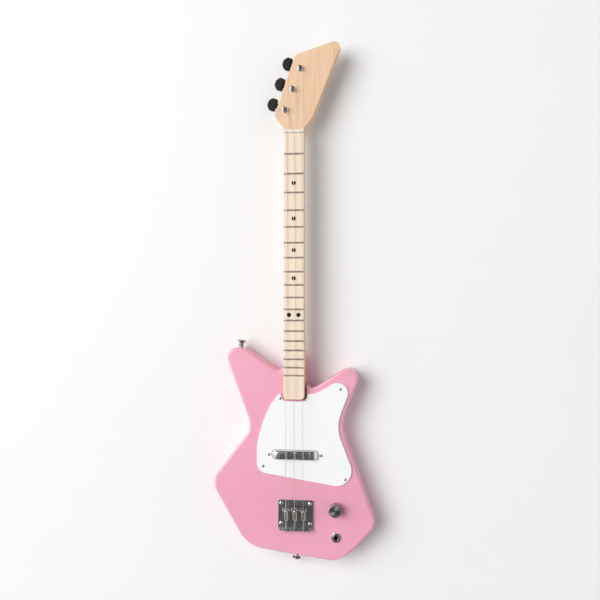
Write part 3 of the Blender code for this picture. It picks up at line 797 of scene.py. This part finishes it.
def make_pickup():
    """A lipstick tube in two halves with pressed seams, screwed down on two springs."""
    half = PICKUP_LEN / 2
    groove = 0.2
    stations = [(half * 0.9992, 0.0)]
    stations += [(half - PICKUP_END_FALL * (1 - math.cos(a)), 0.0) for a in
                 [math.pi / 2 * k / 14 for k in range(1, 15)]]
    for seam in (22.6, 20.9):
        stations += [(seam + groove, 0.0), (seam, groove * 0.8), (seam - groove, 0.0)]
    stations += [(14.0, 0.0), (7.0, 0.0)]
    stations += [(0.0, 0.0)] + [(-x, deep) for x, deep in reversed(stations)]
    work = bmesh.new()
    skin_rings(work, [tube_ring(work, x, deep) for x, deep in stations])
    tube = mesh_object("pickup_tube", work, matrix_of(PICKUP))
    inside = block("cut_tube", (-27, 27), (-5.4, 5.4), (-12, 4.2), 0, matrix_of(PICKUP))
    flat = block("cut_tube_flat", (-40, 40), (-10, 10), (-12, -5.2), 0, matrix_of(PICKUP))
    carve(tube, [inside, flat])
    dress(tube, "chrome", stands_for=("pickup_cover",))
    for k, side in enumerate((-1, 1)):
        spot = (PICKUP.x + side * PICKUP_SCREW_DX, PICKUP.y, GUARD_TOP)
        screw(f"pickup_screw_{k + 1}", spot, (0, 0, 1), (2.05, 0.8, 1.25, 9.5), turn=0.4 + k)
        coil_spring(f"pickup_spring_{k + 1}", (spot[0], spot[1], 32.4), (0, 0, 1), 2.2, 0.3, 3.5, 4)


def make_bridge():
    x0 = BRIDGE_X - BRIDGE_W / 2
    x1 = BRIDGE_X + BRIDGE_W / 2
    bridge = slab("bridge_bent_plate", rectangle(x0, x1, *BRIDGE_Y, 2), BRIDGE_Z, BRIDGE_TOP, 0.5)
    outline = [(x0 + 1, BRIDGE_Z + 0.6, 0), (x1 - 1, BRIDGE_Z + 0.6, 0), (x1 - 1, WALL_TOP, 2.2),
               (x0 + 1, WALL_TOP, 2.2)]
    wall = slab("bridge_wall", outline, -BRIDGE_Y[0] - WALL_T, -BRIDGE_Y[0] - 0.2, 0.4, UPRIGHT)
    carve(bridge, [wall], "UNION")
    tools = []
    for x in SADDLE_X:
        tools.append(cylinder("cut_wall_screw", 1.8, -10, 10, (x, BRIDGE_Y[0], SCREW_Z), (0, 1, 0)))
        tools.append(cylinder("cut_wall_string", 0.9, -10, 10, (x, BRIDGE_Y[0], ANCHOR_Z), (0, 1, 0)))
    spots = [(BRIDGE_X + side * BRIDGE_SCREW_DX, y, 0) for side in (-1, 1) for y in BRIDGE_SCREW_Y]
    tools += [cylinder("cut_bridge_mount", 1.7, 30, 50, spot) for spot in spots]
    carve(bridge, tools)
    dress(bridge, "dark_chrome", stands_for=("bridge_plate",))
    for k, (x, y, _) in enumerate(spots):
        screw(f"bridge_screw_{k + 1}", (x, y, BRIDGE_TOP), (0, 0, 1), (2.7, 1.3, 1.4, 2.1), "chrome",
              turn=0.3 + 0.7 * k)


def make_saddles():
    y0, y1 = SADDLE_Y
    t = SADDLE_T
    low = BRIDGE_TOP + FIT
    side = [(y0, low, 0.3), (y0, SADDLE_REAR_Z, 1.2), (SADDLE_CREST_Y, SADDLE_CREST_Z, 1.4),
            (y1, 47.4, 1.7), (y1, 41.0, 0.3), (y1 - t, 41.0, 0.3), (y1 - t, 46.3, 0.6),
            (SADDLE_CREST_Y, 46.7, 0), (y0 + t, 43.9, 0.4), (y0 + t, low, 0.3)]
    slope = (SADDLE_CREST_Z - SADDLE_REAR_Z) / (SADDLE_CREST_Y - y0)
    for i, x in enumerate(SADDLE_X):
        body = f"saddle_{i + 1}"
        placement = Matrix.Translation((x, 0, 0)) @ ACROSS
        saddle = slab(f"saddle_strip_{i + 1}", side, -SADDLE_W / 2, SADDLE_W / 2, 0.28, placement,
                      math.radians(12), 3)
        slot = rectangle(x - SLOT_HALF, x + SLOT_HALF, y0 + 1.5, -3.4, SLOT_HALF - 0.1)
        tools = [slab("cut_saddle_slot", slot, 42, 52),
                 cylinder("cut_saddle_screw", 1.7, -25, -10, (x, 0, SCREW_Z), (0, 1, 0))]
        tools += [cylinder("cut_grub_hole", 1.25, 44, 52, (x + s * 3.6, -2.0, 0)) for s in (-1, 1)]
        carve(saddle, tools)
        dress(saddle, "saddle_steel", body, (body,))
        edge = [(p.x, p.y, SADDLE_REAR_Z + (p.y - y0) * slope + 0.02)
                for p in round_corners(slot, math.radians(15))]
        lip = dress(swept(f"saddle_lip_{i + 1}", edge, 0.5, 16, True), "chrome", body)
        # A brighter metal than the saddle strip: a painted highlight along the slot's lip
        lip.data.materials[0] = saddle_lip_highlight
        for k, s in enumerate((-1, 1)):
            grub = [(0, 48.0, 0), (0.55, 48.0, 0.05), (0.55, 48.7, 0.05), (1.0, 48.7, 0.15), (1.2, 48.3, 0.1),
                    (1.2, low + 0.4, 0.1), (0.7, low, 0.1), (0, low, 0)]
            item = lathe(f"height_screw_{i + 1}_{k + 1}", grub, (x + s * 3.6, -2.0, 0), segments=24)
            dress(item, "chrome", body)


def threaded(shaft_r, core_r, start, end, pitch):
    """Profile rings of a rolled thread between two heights, from start down to end."""
    count = int(abs(end - start) / pitch)
    way = 1 if end > start else -1
    rings = []
    for k in range(count):
        base = start + way * pitch * k
        rings += [(shaft_r, base + way * pitch * 0.2, 0), (core_r, base + way * pitch * 0.6, 0)]
    return rings


def make_intonation_screws():
    wall = BRIDGE_Y[0]
    for i, x in enumerate(SADDLE_X):
        body = f"intonation_screw_{i + 1}"
        profile = [(0, -8.0, 0), (1.0, -8.0, 0.2)] + threaded(1.35, 1.12, -8.4, wall + 0.6, 0.6)
        profile += [(1.35, wall - 0.3, 0), (SCREW_HEAD_R, wall - 0.3, 0.15), (SCREW_HEAD_R, wall - 1.8, 0.5),
                    (1.2, wall - 2.6, 0.4), (0, wall - 2.6, 0)]
        item = lathe(f"intonation_bolt_{i + 1}", profile, (x, 0, SCREW_Z), (0, 1, 0), 32, True)
        cross = [block("cut", (x - 1.25, x + 1.25), (wall - 4, wall - 1.5), (SCREW_Z - 0.3, SCREW_Z + 0.3)),
                 block("cut", (x - 0.3, x + 0.3), (wall - 4, wall - 1.5), (SCREW_Z - 1.25, SCREW_Z + 1.25))]
        carve(item, cross)
        dress(item, "steel", body, (body,))
        back = wall + WALL_T + 0.1
        length = SADDLE_Y[0] - 0.25 - back
        spring = coil_spring(f"intonation_spring_{i + 1}", (x, back + 0.3, SCREW_Z), (0, 1, 0), 1.95, 0.28,
                             length - 0.6, 7)
        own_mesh(spring)


def make_controls():
    bottom, top = KNOB_Z
    rim = KNOB_R
    skirt = rim + 0.2
    dome = [(0, top, 0)] + [((rim - 1.6) * k / 8, top - 0.18 * (k / 8) ** 2, 0) for k in range(1, 9)]
    groove = [(rim - 1.5, top - 0.45, 0.1), (rim - 1.25, top - 0.45, 0.1), (rim - 1.1, top - 0.2, 0.1)]
    side = [(rim - 0.3, top - 0.35, 0.6), (rim, top - 2.4, 0.3), (skirt, bottom + 1.6, 0.2),
            (skirt, bottom, 0.25)]
    hollow = [(7.2, bottom, 0.2), (7.2, bottom + 2.6, 0.2), (3.35, bottom + 2.6, 0.1),
              (3.35, top - 2.0, 0), (0, top - 2.0, 0)]
    shell = dome + groove + side + hollow
    knob = lathe("knob_shell", shell, (*POT, 0), segments=96)
    dress(knob, "dark_chrome", "volume_control", ("volume_knob",))
    # The dark colour of this plating is painted shade, for the dim room that the knob's top reflects
    knob.data.materials[0] = spun_chrome()
    nut = hex_nut("pot_hex_nut", 11.0, BODY_T + FIT, BODY_T + 2.2, POT, 3.9)
    dress(nut, "chrome", stands_for=("pot_nut",))
    collar = hex_nut("jack_hex_nut", 12.1, BODY_T + FIT, BODY_T + 2.3, JACK, 4.9)
    dress(collar, "chrome", stands_for=("jack_nut",))
    barrel_top = 38.7
    socket = [(0, 14.6, 0), (3.1, 14.6, 0), (3.25, 16.0, 0), (3.25, barrel_top, 0.25),
              (4.6, barrel_top, 0.35)]
    socket += threaded(4.6, 4.35, barrel_top - 0.5, FRONT_WALL, 0.75)
    socket += [(4.6, FRONT_WALL - FIT, 0), (7.0, FRONT_WALL - FIT, 0.3), (7.0, 13.0, 0.5), (0, 13.0, 0)]
    jack = lathe("jack_barrel", socket, (*JACK, 0), segments=72)
    dress(jack, "chrome", stands_for=("jack_socket",))
    dress(lathe("jack_bore_liner", [(2.2, 15.0, 0), (3.15, 15.0, 0), (3.15, 37.9, 0.1), (2.95, 37.9, 0.1),
                                    (2.95, 15.4, 0), (2.2, 15.4, 0)], (*JACK, 0), segments=48),
          "black_plastic")
    cover = slab("cover_plate", rectangle(*CONTROL_COVER, CONTROL_COVER_R), 0.3, 2.2, 0.35)
    spots = [(x, y) for y in COVER_SCREW_Y for x in COVER_SCREW_X]
    sink = [(0, 5, 0), (1.3, 5, 0), (1.3, 0.5, 0), (2.05, 0.5, 0), (2.05, -1, 0), (0, -1, 0)]
    carve(cover, [lathe("cut_cover_screw", sink, (x, y, 0), segments=32, baked=True) for x, y in spots])
    dress(cover, "white_plastic", stands_for=("control_cover",))
    for k, (x, y) in enumerate(spots):
        screw(f"cover_screw_{k + 1}", (x, y, 0.45), (0, 0, -1), (1.9, 0.4, 1.1, 1.6), turn=0.6 * k)


def hex_nut(name, across, low, high, centre, bore):
    """A hexagon with its corners turned off at both faces and a threaded bore."""
    corner = across / math.sqrt(3)
    outline = [(corner * math.cos(k * math.pi / 3), corner * math.sin(k * math.pi / 3), 0.25)
               for k in range(6)]
    nut = slab(name, outline, low, high, 0.12, matrix_of((*centre, 0)), math.radians(20), 2)
    half = across / 2
    turned = lathe("nut_chamfer", [(0, high + 0.01, 0), (half - 0.1, high + 0.01, 0),
                                   (half + 1.1, high - 0.6, 0), (half + 1.1, low + 0.6, 0),
                                   (half - 0.1, low - 0.01, 0), (0, low - 0.01, 0)],
                   (*centre, 0), segments=72, baked=True)
    carve(nut, [turned], "INTERSECT")
    return carve(nut, [cylinder("cut_nut_bore", bore, low - 5, high + 5, (*centre, 0), segments=64)])


def make_neck_joint():
    seat = slab("neck_joint_plate", rectangle(*NECK_PLATE, NECK_PLATE_R), 0.2, 1.4, 0.3)
    sink = [(0, 2.0, 0), (2.4, 2.0, 0), (2.4, 1.35, 0), (3.55, 0.25, 0), (3.55, -1.0, 0), (0, -1.0, 0)]
    carve(seat, [lathe("cut_plate_screw", sink, (x, y, 0), baked=True) for x, y in NECK_SCREWS])
    dress(seat, "chrome", stands_for=("neck_plate",))
    for k, (x, y) in enumerate(NECK_SCREWS):
        screw(f"neck_bolt_{k + 1}", (x, y, 0.6), (0, 0, -1), (3.3, 0.4, 1.9, 29.0, True), "chrome",
              turn=0.9 * k, stands_for=(f"neck_screw_{k + 1}",))


def make_strap_buttons():
    peg = [(1.7, 8.4, 0.1), (1.7, 9.4, 0.1), (2.6, 9.9, 0.3), (5.2, 9.9, 0.5), (6.2, 9.1, 0.5),
           (6.0, 8.0, 0.5), (3.5, 6.2, 1.6), (3.0, 3.8, 1.6), (4.0, 1.4, 0.9), (4.0, 0.3, 0.2), (1.7, 0.3, 0)]
    spots = {"strap_button_horn": ((-80.2, 222.1), (0.137, 0.99)),
             "strap_button_end": ((1.2, -67.4), (-0.133, -0.991))}
    for name, (base, way) in spots.items():
        item = lathe(name + "_peg", peg, (*base, STRAP_Z), (*way, 0), 64)
        dress(item, "chrome", stands_for=(name,))
        # The darker chrome here is painted shade, standing in for the dark reflections of the plating
        item.data.materials[0] = shaded_chrome
        axis = Vector((*way, 0)).normalized()
        spot = Vector((*base, STRAP_Z)) + axis * 8.5
        screw(name + "_screw", spot, axis, (1.6, 1.1, 1.2, 8.0))


TUNER_FRAME = columns((OUT.x, OUT.y, 0), (-ALONG.x, -ALONG.y, 0))


def make_tuners():
    for i, (x, y) in enumerate(POSTS):
        k = i + 1
        at_post = Matrix.Translation((x, y, 0)) @ TUNER_FRAME
        make_housing(k, at_post, (x, y))
        make_post(k, (x, y))
        worm = Vector((x, y)) + ALONG * WORM_OFFSET
        make_button(k, Vector((worm.x, worm.y, WORM_Z)))
        ferrule = [(POST_R + 0.35, HEAD_Z[1] + 0.9, 0.1), (3.8, HEAD_Z[1] + 0.9, 0.4),
                   (4.3, HEAD_Z[1] + 0.4, 0.1), (4.3, HEAD_Z[1] + 0.05, 0.1),
                   (POST_R + 0.35, HEAD_Z[1] + 0.05, 0)]
        dress(lathe(f"post_ferrule_{k}", ferrule, (x, y, 0), segments=64), "chrome")


def make_housing(k, at_post, spot):
    """Gear box under the headstock, with a mounting ear and its screw."""
    top = HEAD_Z[0] - FIT
    housing = slab(f"tuner_case_{k}", rectangle(-6.8, 6.8, -10.6, 5.8, 1.8), 10.0, top, 0.7, at_post)
    ear = slab("tuner_ear", rectangle(-3.6, 3.6, -17.0, -6.0, 3.5), top - 1.6, top, 0.3, at_post)
    carve(housing, [ear], "UNION")
    worm = Vector(spot) + ALONG * WORM_OFFSET
    tools = [block("cut_room", (-5.4, 5.4), (-9.4, 4.6), (11.4, 21.6), 0, at_post),
             cylinder("cut_housing_bore", POST_R + 0.4, 20, 30, (*spot, 0)),
             cylinder("cut_worm_bore", 2.1, 4, 12, (worm.x, worm.y, WORM_Z), (*OUT, 0)),
             cylinder("cut_ear_hole", 1.3, 15, 30, at_post @ Vector((0, -14.0, 0)))]
    carve(housing, tools)
    dress(housing, "chrome", stands_for=(f"tuner_housing_{k}",))
    ear_spot = at_post @ Vector((0, -14.0, top - 1.6))
    screw(f"tuner_screw_{k}", ear_spot, (0, 0, -1), (1.9, 0.8, 1.1, 1.5), turn=0.8 * k)
    lid_spot = at_post @ Vector((0, 0, 10.0))
    screw(f"gear_screw_{k}", lid_spot, (0, 0, -1), (1.7, 0.6, 1.0, 1.2), turn=0.5 * k)


def make_post(k, spot):
    """String post with a waist for the windings, a cross hole and a gear at its foot."""
    top = POST_TOP
    waist = POST_WAIST_R
    low, high = POST_WAIST_Z
    profile = [(0, top, 0), (POST_R, top, 0.7), (POST_R, high + 0.6, 0.2), (waist, high, 0.3),
               (waist, low, 0.3), (POST_R, low - 0.5, 0.2), (POST_R, 17.0, 0), (3.5, 17.0, 0.1),
               (3.5, 13.0, 0.1), (2.4, 13.0, 0), (2.4, 11.8, 0.1), (0, 11.8, 0)]
    post = lathe(f"string_post_{k}", profile, (*spot, 0), segments=48, baked=True)
    carve(post, [cylinder("cut_post_hole", 0.7, -10, 10, (*spot, high + 1.4), (*ALONG, 0), 16)])
    dress(post, "chrome", f"tuner_post_{k}", (f"tuner_post_{k}",))
    # The darker chrome here is painted shade, standing in for the dark reflections of the plating
    post.data.materials[0] = shaded_chrome


def make_button(k, worm):
    body = f"tuner_button_{k}"
    axis = (*OUT, 0)
    shaft = [(0, 16.6, 0), (3.0, 16.6, 0.2), (3.0, 15.2, 0.4), (1.9, 14.2, 0.3), (1.9, 12.4, 0.2),
             (1.6, 12.2, 0), (1.6, 5.0, 0)]
    shaft += threaded(1.6, 1.15, 4.6, -4.0, 1.1)
    shaft += [(1.2, -4.6, 0), (0, -4.6, 0)]
    dress(lathe(f"worm_shaft_{k}", shaft, worm, axis, 32, True), "chrome", body)
    paddle = [(19.2, -8.6, 1.7), (19.9, 0, 20.0), (19.2, 8.6, 1.7), (27.2, 9.0, 4.5), (31.8, 3.6, 5.0),
              (31.8, -3.6, 5.0), (27.2, -9.0, 4.5)]
    grip = slab(f"button_grip_{k}", paddle, -3.9, 3.9, 1.6, Matrix.Translation(worm) @ TUNER_FRAME, rounds=6)
    collar = lathe("button_collar", [(0, 21.0, 0), (3.7, 21.0, 0.3), (3.7, 17.4, 0.6), (3.0, 16.7, 0.2),
                                     (0, 16.7, 0)], worm, axis, 48, True)
    carve(grip, [collar], "UNION")
    dress(grip, "black_plastic", body, (body,))


def make_strings():
    """Each string runs from its ball end over the saddle and the nut, then winds on its post."""
    wall = BRIDGE_Y[0]
    for i, radius in enumerate(STRING_RADII):
        x_nut = NUT_X[i]
        x_saddle = SADDLE_X[i]
        post_x, post_y = POSTS[2 - i]
        coil_r = POST_WAIST_R + 0.08 + radius
        path = eased([Vector((x_saddle, wall - 1.1, STRING_START_Z)), Vector((x_saddle, *STRING_BEND)),
                      Vector((x_saddle, STRING_CREST_Y, STRING_Z_SADDLE)),
                      Vector((x_nut, SCALE + 0.4, STRING_Z_NUT)),
                      Vector((x_nut, SCALE + 4.0, STRING_Z_NUT - 0.15))], 2.4)
        top = POST_WAIST_Z[1] - 0.1 - radius
        for p in helix(coil_r, top, top - 2.05 * radius * WINDS, WINDS, 28):
            path.append((post_x + p.x, post_y + p.y, p.z))
        string = swept(f"steel_string_{i + 1}", path, radius, 16)
        dress(string, "string_wire", stands_for=(f"string_{i + 1}",), angle=50)
        ball = [(0.42, wall, 0), (1.05, wall, 0.25), (0.8, wall - 0.5, 0.1), (1.05, wall - 1.0, 0.25),
                (0.42, wall - 1.0, 0)]
        dress(lathe(f"ball_end_{i + 1}", ball, (x_saddle, 0, STRING_START_Z + 0.15), (0, 1, 0), 32),
              "string_wire")


def paint_kept_nodes():
    """CAD nodes whose shape stays get the procedural materials of their slots."""
    kept = {"pickup_base": "steel", "pickup_coil": "black_plastic", "truss_rod": "steel",
            "pot_body": "steel", "pot_shaft": "steel"}
    for node, look in kept.items():
        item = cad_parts[node]
        item.data.materials.clear()
        item.data.materials.append(looks[look])


# Floor, light and camera

KEY_LIFT = math.radians(56)


def make_floor():
    work = bmesh.new()
    bmesh.ops.create_grid(work, x_segments=8, y_segments=8, size=4000)
    floor = mesh_object("floor", work, Matrix.Translation((0, 0, -0.05)))
    paint = Paint("floor", (0.90, 0.90, 0.90), 0.6)
    paint.colour(paint.blend(paint.span(paint.noise(3.0, 3.0), 0.0, 1.0), (0.905, 0.905, 0.905),
                             (0.895, 0.895, 0.897)))
    floor.data.materials.append(paint.material)


def area_light(name, shape, size, energy, away, distance):
    """A soft lamp that faces the middle of the guitar from a direction and a distance in metres."""
    light = bpy.data.lights.new(name, "AREA")
    light.shape = shape
    light.size, light.size_y = size
    light.energy = energy
    lamp = bpy.data.objects.new(name, light)
    bpy.context.scene.collection.objects.link(lamp)
    away = Vector(away).normalized() * distance
    lamp.location = Vector((0.0, 0.25, 0.0)) + away
    lamp.rotation_mode = "QUATERNION"
    lamp.rotation_quaternion = (-away).to_track_quat("-Z", "Y")
    return lamp


def make_light():
    """A large key lamp for the matte light, a smaller card for the gloss, and a grey room."""
    from_left = (-math.cos(KEY_LIFT), 0.20, math.sin(KEY_LIFT))
    key = area_light("key", "DISK", (8.0, 8.0), 705.0, from_left, 9.0)
    key.visible_glossy = False
    card = area_light("card", "RECTANGLE", (3.6, 4.4), 240.0, (-0.64, 0.22, 0.74), 5.0)
    card.visible_diffuse = False
    world = bpy.data.worlds.new("studio")
    bpy.context.scene.world = world
    world.use_nodes = True
    tree = world.node_tree
    background = tree.nodes["Background"]
    way = tree.nodes.new("ShaderNodeTexCoord")
    split = tree.nodes.new("ShaderNodeSeparateXYZ")
    sideways = tree.nodes.new("ShaderNodeMath")
    sideways.operation = "ABSOLUTE"
    ramp = tree.nodes.new("ShaderNodeValToRGB")
    # The room is dim overhead, which keeps flat plating dark, and bright on both sides
    stops = [(0.0, 0.09), (0.20, 0.11), (0.5, 0.54), (0.9, 0.88)]
    while len(ramp.color_ramp.elements) < len(stops):
        ramp.color_ramp.elements.new(0.5)
    for element, (place, level) in zip(ramp.color_ramp.elements, stops):
        element.position = place
        element.color = (level, level, level * 1.01, 1)
    tree.links.new(way.outputs["Generated"], split.inputs["Vector"])
    tree.links.new(split.outputs["X"], sideways.inputs[0])
    tree.links.new(sideways.outputs["Value"], ramp.inputs["Fac"])
    tree.links.new(ramp.outputs["Color"], background.inputs["Color"])
    background.inputs["Strength"].default_value = 1.0


def make_camera():
    lens = bpy.data.cameras.new("camera")
    lens.lens = 50
    lens.sensor_width = 36
    camera = bpy.data.objects.new("camera", lens)
    bpy.context.scene.collection.objects.link(camera)
    camera.location = (0.17333, 0.28875, 1.1866)
    camera.rotation_euler = (0, math.radians(8.2), 0)
    bpy.context.scene.camera = camera
    bpy.context.scene.view_settings.view_transform = "Standard"


make_camera()
make_light()
make_floor()
make_body()
make_neck()
make_fretboard()
make_frets()
make_nut()
make_pickguard()
make_pickup()
make_bridge()
make_saddles()
make_intonation_screws()
make_controls()
make_neck_joint()
make_strap_buttons()
make_tuners()
make_strings()
paint_kept_nodes()
